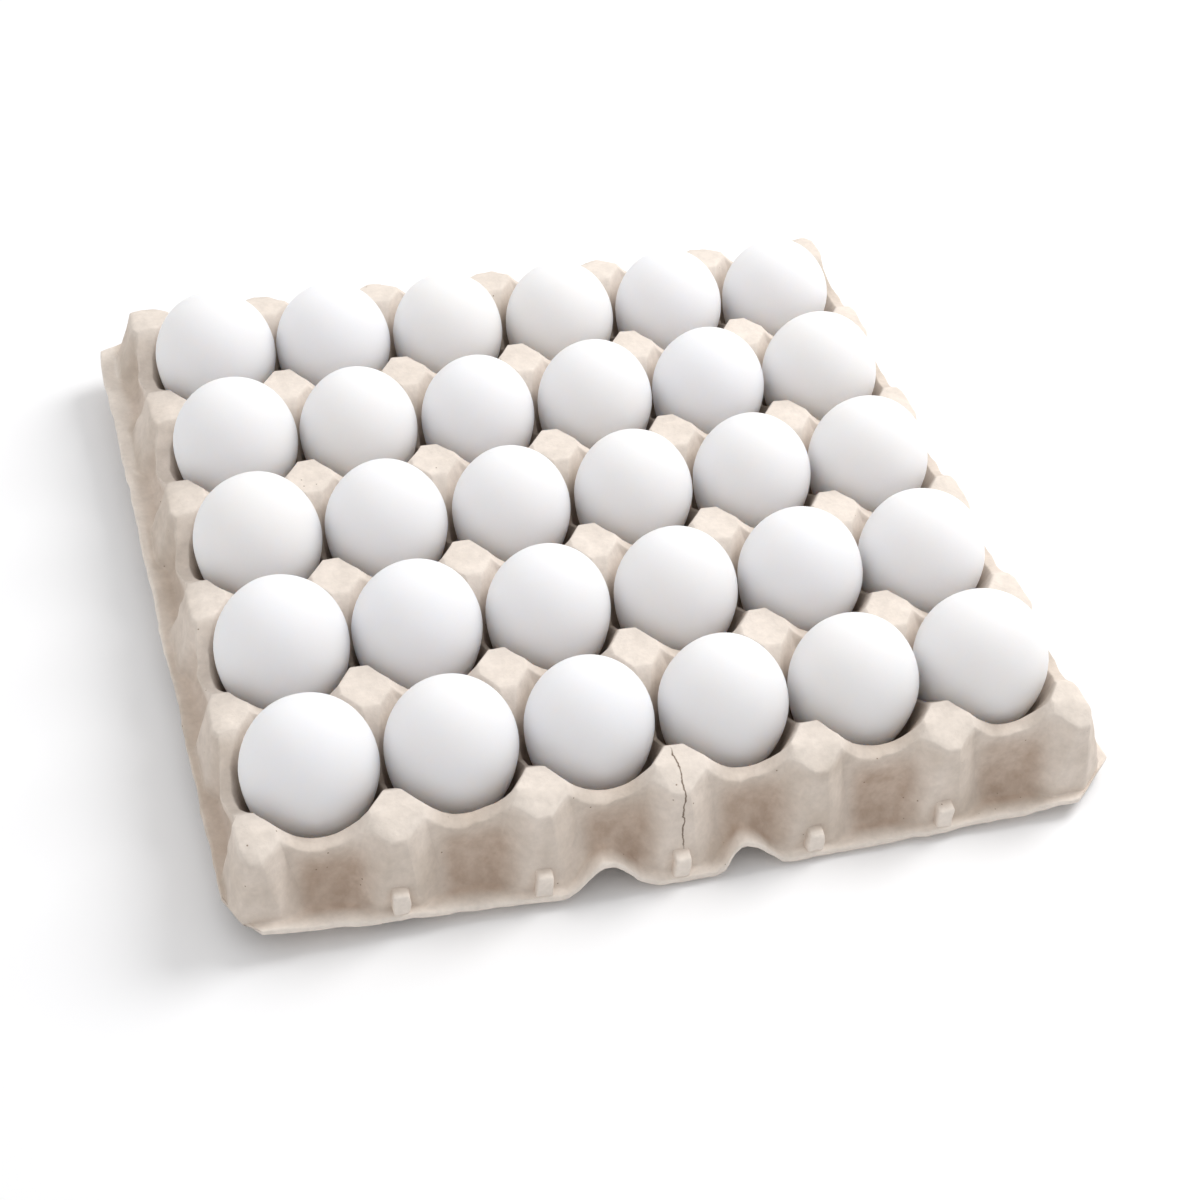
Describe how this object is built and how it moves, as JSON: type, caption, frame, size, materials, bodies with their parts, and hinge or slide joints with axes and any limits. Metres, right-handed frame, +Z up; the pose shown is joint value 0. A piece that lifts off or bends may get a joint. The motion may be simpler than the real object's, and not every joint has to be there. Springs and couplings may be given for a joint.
{
  "type": "egg tray with eggs",
  "caption": "Moulded pulp egg tray, open at the top, with diamond-topped posts between its cups, a flared rim with lifting arches, and white eggs standing in the cups.",
  "frame": {"origin": "on the table, under the middle of the tray", "axes": "+X along a row of cups to the right, +Y from the front row to the back row, +Z up"},
  "size_m": [0.31, 0.3032, 0.0609],
  "materials": {
    "moulded_pulp": "matte",
    "eggshell": "matte"
  },
  "bodies": {
    "root": {"tray": "moulded_pulp", "egg_1_1": "eggshell", "egg_1_2": "eggshell", "egg_1_3": "eggshell", "egg_1_4": "eggshell", "egg_1_5": "eggshell", "egg_1_6": "eggshell", "egg_2_1": "eggshell", "egg_2_2": "eggshell", "egg_2_3": "eggshell", "egg_2_4": "eggshell", "egg_2_5": "eggshell", "egg_2_6": "eggshell", "egg_3_1": "eggshell", "egg_3_2": "eggshell", "egg_3_3": "eggshell", "egg_3_4": "eggshell", "egg_3_5": "eggshell", "egg_3_6": "eggshell", "egg_4_1": "eggshell", "egg_4_2": "eggshell", "egg_4_3": "eggshell", "egg_4_4": "eggshell", "egg_4_5": "eggshell", "egg_4_6": "eggshell", "egg_5_1": "eggshell", "egg_5_2": "eggshell", "egg_5_3": "eggshell", "egg_5_4": "eggshell", "egg_5_5": "eggshell", "egg_5_6": "eggshell"}
  },
  "joints": []
}
